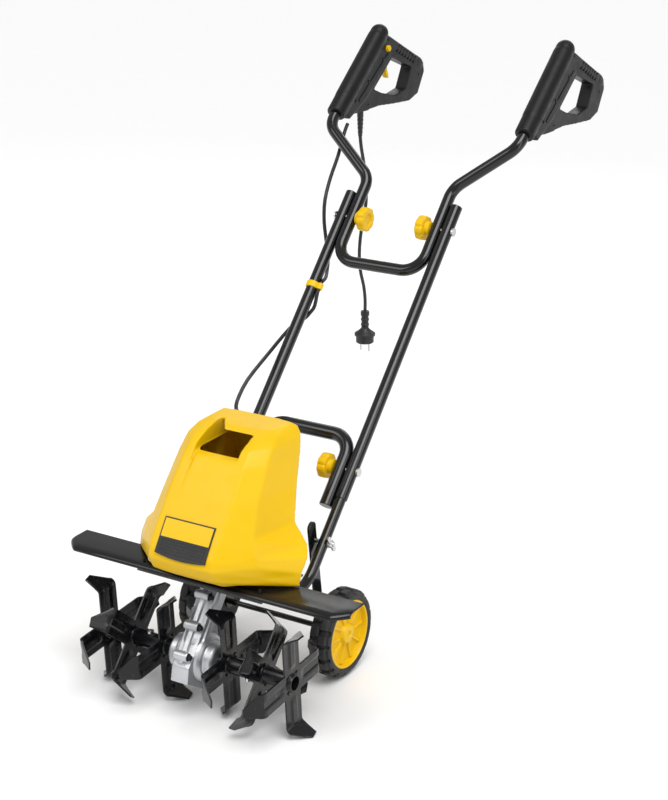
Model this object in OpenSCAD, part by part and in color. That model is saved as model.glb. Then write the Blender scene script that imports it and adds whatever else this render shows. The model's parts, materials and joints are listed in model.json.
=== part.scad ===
/* [Tines] */
// Height of the tine shaft above the ground
axle_z = 99.5; // [98:0.5:101]
// Distance from the shaft to the bend line of a tine arm
tine_bend_r = 81.8; // [78:0.2:82]
// Width of a tine arm
tine_w = 44; // [40:1:46]
// Thickness of the tine steel
tine_t = 3; // [2.5:0.5:3.5]
// Length of the bent tip of an arm
tip_len = 36; // [30:1:37]
// Bend of the tip away from the arm, in degrees
tip_bend = 60; // [55:1:62]
// Distance of the inner stars from the centre plane
star_in_x = 64; // [64:1:68]
// Distance of the middle stars from the centre plane
star_mid_x = 132; // [126:1:134]
// Distance of the outer stars from the centre plane
star_out_x = 186; // [184:1:190]
// Outer diameter of the tine tubes
hub_d = 30; // [28:1:32]

/* [Gearbox] */
// Lean of the gearbox column above the horizontal, in degrees
lean = 52; // [50:1:54]
// Distance between the worm axis and the tine shaft
worm_offset = 26; // [26:1:26]
// Diameter of the tine shaft
shaft_d = 20; // [18:1:20]
// Outer radius of the motor can
motor_r = 40; // [38:1:41]

/* [Handle] */
// Slope of the handle tubes above the horizontal, in degrees
handle_slope = 46.7; // [45:0.1:48]
// Outer diameter of the handle tubes
tube_d = 22; // [20:1:22]
// Wall of the steel tubes
tube_wall = 1.5; // [1:0.1:2]
// Distance of the middle tubes from the centre plane
mid_x = 112; // [111:1:114]
// Length of a middle tube
mid_len = 596; // [580:1:610]
// Distance of the grips from the centre plane
grip_x = 201; // [198:1:205]
// Diameter of a grip knob
knob_d = 46; // [40:1:48]

/* [Wheels] */
// Wheel radius
wheel_r = 79; // [76:1:80]
// Wheel width
wheel_w = 42; // [38:1:44]
// Distance of the wheels' inner faces from the centre plane
wheel_x = 117; // [116:1:120]
// Distance of the wheel axle behind the tine shaft
wheel_y = 231; // [228:1:236]

/* [Body] */
// Overall width of the fender
fender_w = 566; // [540:2:580]
// Steel and shell thickness of the hood
hood_wall = 3; // [2.5:0.5:4]

/* [Hidden] */
$fn = 48;
eps = 0.01;
gap = 0.3;
run_fit = 0.05;
// The frame's origin lies this far behind the tine shaft, under the middle of the whole machine
origin_y = 501.65;

tube_r = tube_d / 2;
slope_y = cos(handle_slope);
slope_z = sin(handle_slope);
// Foot of the middle tubes, the pivot bolts and the top end of the middle tubes
foot = [275, 308];
function on_handle(s) = [foot[0] + s * slope_y, foot[1] + s * slope_z];
low_bolt_s = 55;
fold_bolt_s = mid_len - 52;
upper_x = mid_x - tube_d - gap;
brace_r = 12.5;
brace_x = mid_x - tube_r - brace_r;
swing = [219, foot[1] - (foot[0] - 219) * slope_z / slope_y];
tyre_bead = wheel_r - 17;
axle_r = 5;
bolt_r = 4;

// Moves a sub-part from the tine shaft's frame to the machine's own frame
module placed() { translate([0, -origin_y, 0]) children(); }
// Column frame: Z runs up the leaning gearbox column, Y points to its rear
module column() { translate([0, 0, axle_z]) rotate([lean - 90, 0, 0]) children(); }
// Handle frame: Z runs up the handle line from the foot of the middle tubes
module on_line(x, s) {
    translate([x, on_handle(s)[0], on_handle(s)[1]]) rotate([handle_slope - 90, 0, 0]) children();
}
module x_cyl(r, x0, x1) { translate([x0, 0, 0]) rotate([0, 90, 0]) cylinder(h = x1 - x0, r = r); }
module ring(ro, ri, h) {
    difference() {
        cylinder(h = h, r = ro);
        if (ri > 0) translate([0, 0, -1]) cylinder(h = h + 2, r = ri);
    }
}
// Straight bar or pipe from point a to point b
module rod(a, b, r, hole = 0) {
    d = b - a;
    translate(a) rotate([0, acos(d[2] / norm(d)), atan2(d[1], d[0])]) ring(r, hole, norm(d));
}
function unit(v) = v / norm(v);
function bend_turn(p, i) = acos(unit(p[i] - p[i - 1]) * unit(p[i + 1] - p[i]));
bend_steps = 6;
// Point and direction k of the arc that rounds corner i of the points p
function arc_point(p, i, bend, k) = let (d = unit(p[i] - p[i - 1]), e = unit(p[i + 1] - p[i]),
    n = unit(e - d * (d * e)), turn = bend_turn(p, i), t = turn * k / bend_steps,
    o = p[i] - d * bend * tan(turn / 2) + n * bend)
    [o + bend * (sin(t) * d - cos(t) * n), cos(t) * d + sin(t) * n];
function last(p) = p[len(p) - 1];
function bent_line(p, bend, extra) = let (m = len(p) - 1, d = unit(p[1] - p[0]), e = unit(p[m] - p[m - 1]))
    concat([[p[0] - d * extra, d]],
        [for (i = [1 : 1 : m - 1], k = [0 : bend_steps]) arc_point(p, i, bend, k)],
        [[p[m] + e * extra, e]]);
function across(d) = unit(cross(d, abs(d[0]) > 0.8 ? [0, 1, 0] : [1, 0, 0]));
// Closed tube surface through rings of n points round each [point, direction] of a line
module sweep(line, r, n) {
    m = len(line);
    frames = [for (i = 0, u = across(line[0][1]); i < m; i = i + 1,
        u = i < m ? unit(u - line[i][1] * (u * line[i][1])) : u) u];
    pts = [for (i = [0 : m - 1], k = [0 : n - 1]) let (v = cross(line[i][1], frames[i]))
        line[i][0] + r * (cos(k * 360 / n) * frames[i] + sin(k * 360 / n) * v)];
    polyhedron(pts, concat([[for (k = [0 : n - 1]) k]],
        [for (i = [0 : m - 2], k = [0 : n - 1]) [i * n + k, (i + 1) * n + (k + 1) % n, i * n + (k + 1) % n]],
        [for (i = [0 : m - 2], k = [0 : n - 1]) [i * n + k, (i + 1) * n + k, (i + 1) * n + (k + 1) % n]],
        [[for (k = [n - 1 : -1 : 0]) (m - 1) * n + k]]));
}
pipe_sides = 20;
// Bar or pipe along the points p, with every corner bent to the radius bend
module bent_bar(p, r, bend, hole = 0) {
    difference() {
        sweep(bent_line(p, bend, 0), r, pipe_sides);
        if (hole > 0) sweep(bent_line(p, bend, 1), hole, pipe_sides);
    }
}

// Hood outline at rising heights: [z, front y, rear y, half width at the rear, half width at the front]
hood_rows = [[241, -16, 62, 160, 60], [286, -46, 96, 153, 62], [330, -22, 122, 117, 66],
    [440, 62, 184, 90, 60], [470, 100, 196, 80, 50], [482, 132, 180, 66, 44]];
side_back = 0.55;
module hood_slice(row, wall) {
    front = row[1] + wall;
    rear = row[2] - wall;
    wide = row[3] - wall;
    nose = row[4] - wall;
    mid = front + (rear - front) * side_back;
    translate([0, 0, row[0]]) linear_extrude(0.02)
        polygon([[-nose, front], [nose, front], [wide, mid], [wide, rear], [-wide, rear], [-wide, mid]]);
}
module hood_body(rows, wall) {
    for (i = [0 : len(rows) - 2]) hull() {
        hood_slice(rows[i], wall);
        hood_slice(rows[i + 1], wall);
    }
}
inner_rows = [for (row = hood_rows) [row[0] - hood_wall, row[1], row[2], row[3], row[4]]];
window_x = 44;
module hood_window() {
    hull() {
        translate([-window_x, 60, 447]) cube([window_x * 2, 1, 14]);
        translate([-window_x, 215, 447]) cube([window_x * 2, 1, 14]);
    }
}
module hood_shell() {
    color("gold") placed() difference() {
        hood_body(hood_rows, 0);
        difference() {
            hood_body(inner_rows, hood_wall);
            translate([-window_x - hood_wall, 40, 447 - hood_wall])
                cube([window_x * 2 + hood_wall * 2, 170, 14 + hood_wall * 2]);
        }
        translate([-140, 40, 235]) cube([280, 60, 8]);
        hood_window();
        rear_cut();
    }
}
// Rear face of the hood, open for the motor and closed by the rear cover
rear_rows = [[246, 60, 144], [300, 100, 190], [370, 142, 212], [430, 176, 206]];
rear_x = 70;
module rear_cut() {
    rows = concat([[236, 48]], rear_rows);
    for (i = [0 : len(rows) - 2]) hull() for (row = [rows[i], rows[i + 1]])
        translate([-rear_x + 4, row[1] - 12, row[0] - eps]) cube([rear_x * 2 - 8, 40, 0.02]);
}
module rear_slice(row, wall) {
    translate([0, 0, row[0]]) linear_extrude(0.02) polygon([[-rear_x + wall, row[1]], [rear_x - wall, row[1]],
        [rear_x - 14 - wall, row[2] - wall], [-rear_x + 14 + wall, row[2] - wall]]);
}
module hood_rear_cover() {
    color("gold") placed() difference() {
        translate([0, hood_wall, 0]) for (i = [0 : 2]) hull() {
            rear_slice(rear_rows[i], 0);
            rear_slice(rear_rows[i + 1], 0);
        }
        hull() {
            translate([0, 0, -hood_wall]) rear_slice(rear_rows[0], hood_wall);
            rear_slice(rear_rows[1], hood_wall);
        }
        hull() {
            rear_slice(rear_rows[1], hood_wall);
            rear_slice(rear_rows[2], hood_wall);
        }
        hull() {
            rear_slice(rear_rows[2], hood_wall);
            translate([0, 0, -hood_wall]) rear_slice(rear_rows[3], hood_wall);
        }
        hood_body(hood_rows, 0);
        for (k = [0 : 4]) translate([-40, 150, 310 + k * 18]) cube([80, 70, 6]);
    }
}
badge_top = [-9, 349];
badge_low = [-41, 301];
module hood_badge() {
    tilt = atan2(badge_top[1] - badge_low[1], badge_top[0] - badge_low[0]);
    tall = norm(badge_top - badge_low);
    color("dimgray") placed() translate([0, badge_low[0] - 3, badge_low[1]]) rotate([tilt, 0, 0])
        linear_extrude(1.6) polygon([[-50, 0], [50, 0], [47, tall], [-47, tall]]);
}
module hood_screws() {
    color("dimgray") placed() for (x = [-1, 1], y = [12, 52]) translate([x * 118, y, 229]) {
        cylinder(h = 16, r = 2.5);
        translate([0, 0, -2.5]) cylinder(h = 2.5, r = 5);
    }
}

// Fender section in its own Y and Z, from the rear edge to the rolled front lip
fender_top = 240;
fender_edge = [[64, 240], [12, 240], [2, 236], [-3, 228], [-3, 222], [0, 222], [1.5, 228], [5, 233.6],
    [12.6, 237.5], [64, 237.5]];
module fender() {
    half = fender_w / 2;
    color([0.12, 0.12, 0.13]) placed() difference() {
        translate([-half, 0, 0]) rotate([90, 0, 90]) linear_extrude(fender_w) polygon(fender_edge);
        for (m = [0, 1]) mirror([m, 0, 0]) translate([half, -10, 200]) rotate([0, 0, 45])
            translate([-14, -14, 0]) cube([28, 28, 60]);
        translate([-50, 6, 230]) cube([100, 70, 20]);
        for (x = [-1, 1], y = [12, 52]) translate([x * 118, y, 225]) cylinder(h = 20, r = 3);
    }
}
plate_z = 224;
module chassis_plate() {
    color([0.15, 0.15, 0.16]) placed() difference() {
        translate([-126, 3, plate_z]) cube([252, 127, 3]);
        column() translate([0, -worm_offset, 80]) cylinder(h = 140, r = motor_r + run_fit);
        for (x = [-1, 1], y = [12, 52]) translate([x * 118, y, 220]) cylinder(h = 10, r = 6);
    }
}
chassis_r = tube_r - tube_wall - 0.1;
function chassis_path(x) = [[x, 62, 213], [x, 152, 178], [x, on_handle(100)[0], on_handle(100)[1]]];
module chassis_tube(x) {
    color([0.1, 0.1, 0.11]) placed() difference() {
        bent_bar(chassis_path(x), chassis_r, 70, chassis_r - tube_wall);
        translate([x, swing[0], swing[1]]) x_cyl(bolt_r + run_fit, -20, 20);
        translate([x, on_handle(low_bolt_s)[0], on_handle(low_bolt_s)[1]]) x_cyl(bolt_r + run_fit, -20, 20);
    }
}
module chassis_tube_left() { chassis_tube(mid_x); }
module chassis_tube_right() { chassis_tube(-mid_x); }
brace_low = -18;
brace_top = 116;
module brace_tube() {
    path = [for (q = [[-1, brace_low], [-1, brace_top], [1, brace_top], [1, brace_low]])
        [q[0] * brace_x, on_handle(q[1])[0], on_handle(q[1])[1]]];
    color([0.1, 0.1, 0.11]) placed() difference() {
        bent_bar(path, brace_r, 38, brace_r - tube_wall);
        translate([0, on_handle(low_bolt_s)[0], on_handle(low_bolt_s)[1]]) x_cyl(bolt_r + run_fit, -120, 120);
    }
}
module mid_tube(x) {
    color([0.1, 0.1, 0.11]) placed() difference() {
        on_line(x, 0) difference() {
            cylinder(h = mid_len, r = tube_r);
            translate([0, 0, -1]) cylinder(h = mid_len + 2, r = tube_r - tube_wall);
        }
        for (s = [low_bolt_s, fold_bolt_s])
            translate([x, on_handle(s)[0], on_handle(s)[1]]) x_cyl(bolt_r + run_fit, -20, 20);
    }
}
module mid_tube_left() { mid_tube(mid_x); }
module mid_tube_right() { mid_tube(-mid_x); }
knob_face = brace_x - brace_r;
upper_face = upper_x - tube_r;
module handle_bolts() {
    color("silver") placed() for (m = [0, 1], q = [[low_bolt_s, knob_face], [fold_bolt_s, upper_face]])
        mirror([m, 0, 0]) translate([0, on_handle(q[0])[0], on_handle(q[0])[1]]) {
            x_cyl(bolt_r, q[1] - 14, mid_x + tube_r);
            x_cyl(8, mid_x + tube_r, mid_x + tube_r + 3.5);
        }
}
clip_s = 386;
module cable_clip() {
    color("gold") placed() on_line(-mid_x, clip_s) difference() {
        union() {
            cylinder(h = 12, r = tube_r + 2.5);
            translate([tube_r + 4, 0, 0]) cylinder(h = 12, r = 6);
        }
        translate([0, 0, -1]) cylinder(h = 14, r = tube_r);
        translate([tube_r + 4, 0, -1]) cylinder(h = 14, r = 4.1);
    }
}

// Gearbox: two halves that meet on the centre plane
neck_top = 128;
module housing_solid(out) {
    column() {
        translate([0, -worm_offset, 10]) cylinder(h = neck_top - 10, r = 19 + out);
        translate([0, -worm_offset, neck_top - 12]) cylinder(h = 12, r = 30 + out);
        translate([-17 - out, -44, -20]) cube([34 + out * 2, 30, neck_top - 14]);
    }
    translate([0, 0, axle_z]) x_cyl(54 + out, -18 - out, 18 + out);
    translate([0, 0, axle_z]) x_cyl(30 + out, -44 - out, 44 + out);
}
module housing_room() {
    column() translate([0, -worm_offset, -26]) cylinder(h = 90, r = 10);
    column() translate([0, -worm_offset, 64]) cylinder(h = 80, r = 8);
    column() translate([0, -worm_offset, 96]) cylinder(h = 60, r = 14.05);
    translate([0, 0, axle_z]) x_cyl(26, -11, 11);
    translate([0, 0, axle_z]) x_cyl(shaft_d / 2 + 1, -60, 60);
    translate([0, 0, axle_z]) x_cyl(21.05, -41, 41);
}
// Screw lugs along the front seam, and one under the shaft
lug_s = [-14, 38, 92];
lug_y = -49;
head_x = 8;
module at_lugs() {
    column() for (s = lug_s) translate([0, lug_y, s]) children();
    translate([0, 24, axle_z - 52]) children();
}
module housing_lugs() { at_lugs() x_cyl(8, -15, 13); }
module gear_housing(side) {
    color([0.72, 0.73, 0.75]) placed() difference() {
        union() {
            housing_solid(0);
            housing_lugs();
        }
        housing_room();
        at_lugs() {
            x_cyl(2.5, -16, 30);
            x_cyl(6.1, head_x, 30);
        }
        translate([side > 0 ? -200 : 0, -200, -100]) cube([200, 500, 500]);
    }
}
module gear_housing_left() { gear_housing(1); }
module gear_housing_right() { gear_housing(-1); }
module gear_housing_screws() {
    color([0.1, 0.1, 0.1]) placed() at_lugs() {
        x_cyl(2.5, -13, head_x);
        x_cyl(6, head_x, head_x + 1.5);
        x_cyl(4.5, head_x + 1.5, head_x + 6);
    }
}
module shaft_bearings() {
    color("lightgray") placed() for (x = [-41, 29])
        translate([x, 0, axle_z]) rotate([0, 90, 0]) ring(21, shaft_d / 2 + run_fit, 12);
}
motor_s = neck_top;
motor_len = 140;
module motor_can() {
    color([0.2, 0.2, 0.21]) placed() column() translate([0, -worm_offset, motor_s]) difference() {
        cylinder(h = motor_len, r = motor_r);
        translate([0, 0, 4]) cylinder(h = motor_len, r = motor_r - 3);
        translate([0, 0, -1]) cylinder(h = 10, r = 11);
    }
}
module stator() {
    color("peru") placed() column() translate([0, -worm_offset, motor_s + 26]) ring(motor_r - 3, 23, 76);
}
module motor_bearings() {
    color("lightgray") placed() column() translate([0, -worm_offset, 0]) {
        translate([0, 0, 98]) ring(14, 6 + run_fit, 10);
        translate([0, 0, motor_s + 116]) ring(motor_r - 3, 6 + run_fit, 8);
    }
}
module run_capacitor() {
    color("gainsboro") placed() translate([0, 16, 257]) x_cyl(16, -100, -30);
}
module rotor() {
    color("silver") placed() column() translate([0, -worm_offset, 0]) {
        translate([0, 0, 66]) cylinder(h = motor_s + 148 - 66, r = 6);
        translate([0, 0, motor_s + 26]) cylinder(h = 76, r = 22.4);
    }
}
module cooling_fan() {
    color("black") placed() column() translate([0, -worm_offset, motor_s + 128]) {
        ring(12, 6, 8);
        ring(34, 11, 2);
        for (k = [0 : 7]) rotate([0, 0, k * 45]) translate([11, -1, 1]) cube([22, 2, 9]);
    }
}
worm_r = 8;
wheel_teeth = 20;
module worm() {
    color("dimgray") placed() column() translate([0, -worm_offset, -20]) {
        cylinder(h = 86, r = 4);
        for (k = [0 : 9]) translate([0, 0, 4.6 + k * 6.2832 * 20 / 20 * 1]) cylinder(h = 0.9, r = 5);
    }
}
module worm_wheel() {
    color("goldenrod") placed() translate([0, 0, axle_z]) difference() {
        x_cyl(20.4, -9, 9);
        x_cyl(shaft_d / 2, -10, 10);
    }
}

module tine_shaft() {
    color("silver") placed() translate([0, 0, axle_z]) difference() {
        x_cyl(shaft_d / 2, -110, 110);
        for (x = [-100, 100]) translate([x, 0, 0]) cylinder(h = 60, r = 3, center = true);
    }
}
tube_in_x = 46;
module tine_tube(side) {
    color([0.1, 0.1, 0.11]) placed() translate([0, 0, axle_z]) mirror([side > 0 ? 0 : 1, 0, 0]) difference() {
        x_cyl(hub_d / 2, tube_in_x, star_out_x + 6);
        x_cyl(shaft_d / 2, tube_in_x - 1, 112);
        x_cyl(12, 111.9, star_out_x + 10);
        translate([100, 0, 0]) cylinder(h = 60, r = 3, center = true);
    }
}
module tine_tube_left() { tine_tube(1); }
module tine_tube_right() { tine_tube(-1); }
// One arm along +Z with its tip bent towards +X; the tip narrows to its leading side
module arm(way) {
    half = tine_w / 2;
    translate([-tine_t / 2, -half, 0]) cube([tine_t, tine_w, tine_bend_r]);
    translate([way * 1.2, 0, tine_bend_r - 1]) mirror([way > 0 ? 0 : 1, 0, 0]) rotate([0, tip_bend, 0])
        translate([-tine_t / 2, 0, 0]) rotate([90, 0, 90]) linear_extrude(tine_t)
            polygon([[-half, 0], [half, 0], [half, tip_len * 0.35], [-half + 16, tip_len],
                [-half, tip_len * 0.92]]);
    translate([way * 1.1 - 1.5, -half, tine_bend_r - 3]) cube([3, tine_w, 4]);
}
module star(x, turn, ways) {
    color([0.12, 0.12, 0.13]) placed() translate([x, 0, axle_z]) rotate([turn, 0, 0]) difference() {
        for (k = [0 : 3]) rotate([k * 90, 0, 0]) arm(ways[k]);
        x_cyl(hub_d / 2, -20, 20);
    }
}
module star_inner_left() { star(star_in_x, 4, [-1, 1, -1, 1]); }
module star_middle_left() { star(star_mid_x, 49, [1, -1, 1, -1]); }
module star_outer_left() { star(star_out_x, 4, [1, -1, 1, -1]); }
module star_inner_right() { star(-star_in_x, 4, [1, -1, 1, -1]); }
module star_middle_right() { star(-star_mid_x, 49, [-1, 1, -1, 1]); }
module star_outer_right() { star(-star_out_x, 4, [-1, 1, -1, 1]); }
module tine_bolts() {
    color("silver") placed() for (x = [-100, 100]) translate([x, 0, axle_z]) {
        cylinder(h = hub_d + 10, r = 3, center = true);
        translate([0, 0, hub_d / 2]) cylinder(h = 4, r = 6);
        translate([0, 0, -hub_d / 2 - 5]) cylinder(h = 5, r = 5.5);
    }
}

arm_top = [203, 278];
arm_x = mid_x - tube_r - 6;
module wheel_arms() {
    color([0.1, 0.1, 0.11]) placed() for (m = [0, 1]) mirror([m, 0, 0]) difference() {
        hull() {
            translate([0, arm_top[0], arm_top[1]]) x_cyl(11, arm_x, arm_x + 4);
            translate([0, swing[0], swing[1]]) x_cyl(13, arm_x, arm_x + 4);
            translate([0, wheel_y, wheel_r]) x_cyl(12, arm_x, arm_x + 4);
        }
        translate([0, swing[0], swing[1]]) x_cyl(bolt_r + run_fit, 50, 150);
        translate([0, wheel_y, wheel_r]) x_cyl(axle_r, 50, 150);
    }
}
axle_end = wheel_x + wheel_w - 10;
module axle() {
    color([0.1, 0.1, 0.11]) placed() translate([0, wheel_y, wheel_r]) x_cyl(axle_r, -axle_end, axle_end);
}
module axle_clips() {
    color("silver") placed() for (m = [0, 1]) mirror([m, 0, 0]) translate([wheel_x - 3, wheel_y, wheel_r])
        rotate([0, 90, 0]) ring(9, axle_r, 2);
}
module tyre(side) {
    color([0.1, 0.1, 0.1]) placed() mirror([side > 0 ? 0 : 1, 0, 0])
        translate([wheel_x, wheel_y, wheel_r]) rotate([0, 90, 0]) difference() {
            union() {
                cylinder(h = wheel_w, r = wheel_r - 5);
                for (k = [0 : 17]) rotate([0, 0, k * 20]) intersection() {
                    translate([wheel_r - 9, -8.5, 0]) cube([12, 17, wheel_w]);
                    cylinder(h = wheel_w, r = wheel_r);
                }
            }
            translate([0, 0, -1]) cylinder(h = wheel_w + 2, r = tyre_bead);
        }
}
module tyre_left() { tyre(1); }
module tyre_right() { tyre(-1); }
module wheel_hub(side) {
    color("gold") placed() mirror([side > 0 ? 0 : 1, 0, 0])
        translate([wheel_x, wheel_y, wheel_r]) rotate([0, 90, 0]) difference() {
            union() {
                translate([0, 0, 1]) ring(tyre_bead, tyre_bead - 4, wheel_w - 2);
                cylinder(h = wheel_w - 6, r = 14);
                translate([0, 0, wheel_w - 6]) cylinder(h = 4, r = tyre_bead - 3);
            }
            translate([0, 0, -1]) cylinder(h = wheel_w - 8.5, r = axle_r + run_fit);
        }
}
module wheel_hub_left() { wheel_hub(1); }
module wheel_hub_right() { wheel_hub(-1); }
module wing_bolt(side) {
    face = mid_x + chassis_r + gap;
    color("silver") placed() mirror([side > 0 ? 0 : 1, 0, 0]) translate([0, swing[0], swing[1]]) {
        x_cyl(bolt_r, arm_x - 6, face + 12);
        x_cyl(7.5, face, face + 6);
        x_cyl(7, arm_x - 4.3, arm_x - gap);
        translate([face + 3, -2, 4]) rotate([35, 0, 0]) cube([7, 4, 15]);
        translate([face + 3, -2, -4]) rotate([-215, 0, 0]) translate([0, -4, 0]) cube([7, 4, 15]);
    }
}
module wing_bolt_left() { wing_bolt(1); }
module wing_bolt_right() { wing_bolt(-1); }

// Upper handle: one tube from grip to grip, with its crossbar below the fold bolts
grip_slope = 39;
grip_foot = [770, 868];
grip_len = 214;
function on_grip(s) = [grip_foot[0] + s * cos(grip_slope), grip_foot[1] + s * sin(grip_slope)];
cross_s = fold_bolt_s - 92;
flare_s = fold_bolt_s + 88;
function upper_half(m) = [[m * upper_x, on_handle(cross_s)[0], on_handle(cross_s)[1]],
    [m * upper_x, on_handle(flare_s)[0], on_handle(flare_s)[1]],
    [m * grip_x, on_grip(-28)[0], on_grip(-28)[1]],
    [m * grip_x, on_grip(grip_len - 12)[0], on_grip(grip_len - 12)[1]]];
module upper_tube() {
    a = upper_half(-1);
    b = upper_half(1);
    color([0.1, 0.1, 0.11]) placed() difference() {
        bent_bar([a[3], a[2], a[1], a[0], b[0], b[1], b[2], b[3]], tube_r, 40, tube_r - tube_wall);
        translate([0, on_handle(fold_bolt_s)[0], on_handle(fold_bolt_s)[1]])
            x_cyl(bolt_r + run_fit, -110, 110);
    }
}
module grip_frame(side) {
    translate([side * grip_x, grip_foot[0], grip_foot[1]]) rotate([grip_slope - 90, 0, 0]) children();
}
// Round bar with a domed upper end
module capsule(r, h) {
    rotate_extrude() intersection() {
        square([r, h + r]);
        union() {
            square([r, h]);
            translate([0, h]) circle(r = r);
        }
    }
}
// Side outline of the housing and of the hand hole, as [depth behind the sleeve, height along it]
grip_side = [[-12, 4], [33, 4], [34, 30], [42, 38], [74, 78], [98, 112], [142, 156], [184, 202], [196, 236],
    [178, 284], [160, 292], [20, 226], [-12, 214]];
hand_hole = [[60, 207], [132, 250], [150, 206], [128, 168], [84, 134], [56, 118]];
grip_r = 18;
grip_wide = 26;
bar_from = [16, 212];
bar_to = [158, 281];
module side_plate(w) { rotate([90, 0, 90]) linear_extrude(w, center = true) children(); }
module grip_solid() {
    capsule(grip_r, grip_len);
    side_plate(grip_wide) difference() {
        polygon(grip_side);
        polygon(hand_hole);
    }
    translate([0, bar_from[0], bar_from[1]])
        rotate([-atan2(bar_to[0] - bar_from[0], bar_to[1] - bar_from[1]), 0, 0])
            capsule(14, norm(bar_to - bar_from));
}
module tube_room() { translate([0, 0, -1]) cylinder(h = grip_len - 10, r = tube_r); }
module plain_grip() {
    color([0.13, 0.13, 0.14]) placed() grip_frame(1) difference() {
        grip_solid();
        tube_room();
    }
}
lever_at = [46, 193];
button_at = [26, 200];
module switch_grip() {
    color([0.13, 0.13, 0.14]) placed() grip_frame(-1) difference() {
        union() {
            grip_solid();
            side_plate(32) polygon([[14, 60], [46, 92], [46, 206], [14, 206]]);
        }
        tube_room();
        translate([-6, 24, 150]) cube([12, 50, 56]);
        translate([0, button_at[0], button_at[1]]) x_cyl(6.3, 4, 20);
    }
}
module switch_block() {
    color([0.25, 0.25, 0.26]) placed() grip_frame(-1) translate([-5, 25, 152]) cube([10, 9, 30]);
}
lever_len = 46;
module trigger() {
    color("gold") placed() grip_frame(-1) translate([0, lever_at[0], lever_at[1]]) {
        x_cyl(5, -5, 5);
        rotate([-18, 0, 0]) translate([-5, 0, -4]) cube([10, lever_len, 6.5]);
    }
}
module lock_button() {
    color("gold") placed() grip_frame(-1) translate([0, button_at[0], button_at[1]]) x_cyl(6, 9, 22);
}
module knob(side, s, face) {
    color("gold") placed() mirror([side > 0 ? 0 : 1, 0, 0])
        translate([face - gap, on_handle(s)[0], on_handle(s)[1]]) rotate([0, -90, 0]) difference() {
            union() {
                cylinder(h = 8, r = 13);
                translate([0, 0, 7.9]) cylinder(h = 17, r = knob_d / 2 - 2.5);
                for (k = [0 : 7]) rotate([0, 0, k * 45 + 20]) translate([knob_d / 2 - 6, 0, 7.9])
                    cylinder(h = 17, r = 6);
            }
            translate([0, 0, -1]) cylinder(h = 16, r = bolt_r + run_fit);
        }
}
module knob_lower_left() { knob(1, low_bolt_s, knob_face); }
module knob_lower_right() { knob(-1, low_bolt_s, knob_face); }
module knob_upper_left() { knob(1, fold_bolt_s, upper_face); }
module knob_upper_right() { knob(-1, fold_bolt_s, upper_face); }

// Cables: an open tube swept along points that are rounded by a spline
function spline(a, b, c, d, t) = 0.5 * ((2 * b) + (c - a) * t + (2 * a - 5 * b + 4 * c - d) * t * t
    + (3 * b - a - 3 * c + d) * t * t * t);
function at(p, i) = p[max(0, min(len(p) - 1, i))];
function smooth(p, n) = concat([for (i = [0 : len(p) - 2], k = [0 : n - 1])
    spline(at(p, i - 1), p[i], p[i + 1], at(p, i + 2), k / n)], [p[len(p) - 1]]);
module cable(p, r, n) {
    c = smooth(p, n);
    m = len(c);
    sweep([for (i = [0 : m - 1]) [c[i], unit(at(c, i + 1) - at(c, i - 1))]], r, 8);
}
lead_r = 3.5;
// Motor lead from the switch grip round the outside of the fold, down to the clip
lead_upper = [[-184, 787, 848], [-180, 768, 834], [-170, 728, 797], [-160, 684, 764], [-151, 650, 730],
    [-150, 645, 692], [-146, 645, 656], [-132, 630, 624], [-115, 598, 606], [-100, 568, 603], [-97, 552, 602]];
// Motor lead from the clip, behind the middle tube and over to the grommet at the top of the hood
lead_lower = [[-97, 549, 598], [-97, 536, 585], [-98, 527, 560], [-103, 520, 549], [-110, 514, 539],
    [-122, 504, 529], [-130, 490, 521], [-127, 416, 495], [-98, 302, 481], [-66, 222, 471], [-52, 200, 464]];
module motor_lead_upper() { color([0.09, 0.09, 0.1]) placed() cable(lead_upper, lead_r, 4); }
module motor_lead_lower() { color([0.09, 0.09, 0.1]) placed() cable(lead_lower, lead_r, 4); }
module lead_grommet() { color([0.09, 0.09, 0.1]) placed() translate([-50, 195, 461]) sphere(r = 8); }
lead_path = [[-195, 854, 812], [-195, 858, 790], [-195, 868, 757], [-195, 877, 721], [-195, 879, 690],
    [-195, 876, 662], [-195, 860, 618], [-195, 853, 576], [-195, 857, 537], [-195, 871, 500], [-195, 877, 470],
    [-195, 877, 445]];
module lead_relief() {
    color([0.09, 0.09, 0.1]) placed() difference() {
        hull() {
            translate([-195, 854, 858]) sphere(r = 6, $fn = 24);
            translate([-195, 854, 812]) cylinder(h = 2, r = 4.2, $fn = 24);
        }
        translate([-230, 820, 800]) cube([60, 60, 12]);
    }
}
module mains_lead() { color([0.09, 0.09, 0.1]) placed() cable(lead_path, lead_r, 4); }
module mains_plug() {
    color([0.09, 0.09, 0.1]) placed() translate([-195, 877, 378]) {
        translate([0, 0, 57]) cylinder(h = 10, r = 9);
        translate([0, 0, 30]) cylinder(h = 28, r = 7.5);
        translate([0, 0, 19]) cylinder(h = 12, r1 = 20, r2 = 9);
        translate([0, 0, 14]) cylinder(h = 6, r = 21.5);
        cylinder(h = 15, r = 18.5);
        for (x = [-9.5, 9.5]) translate([x, 0, -19]) cylinder(h = 20, r = 2.4);
    }
}

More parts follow.
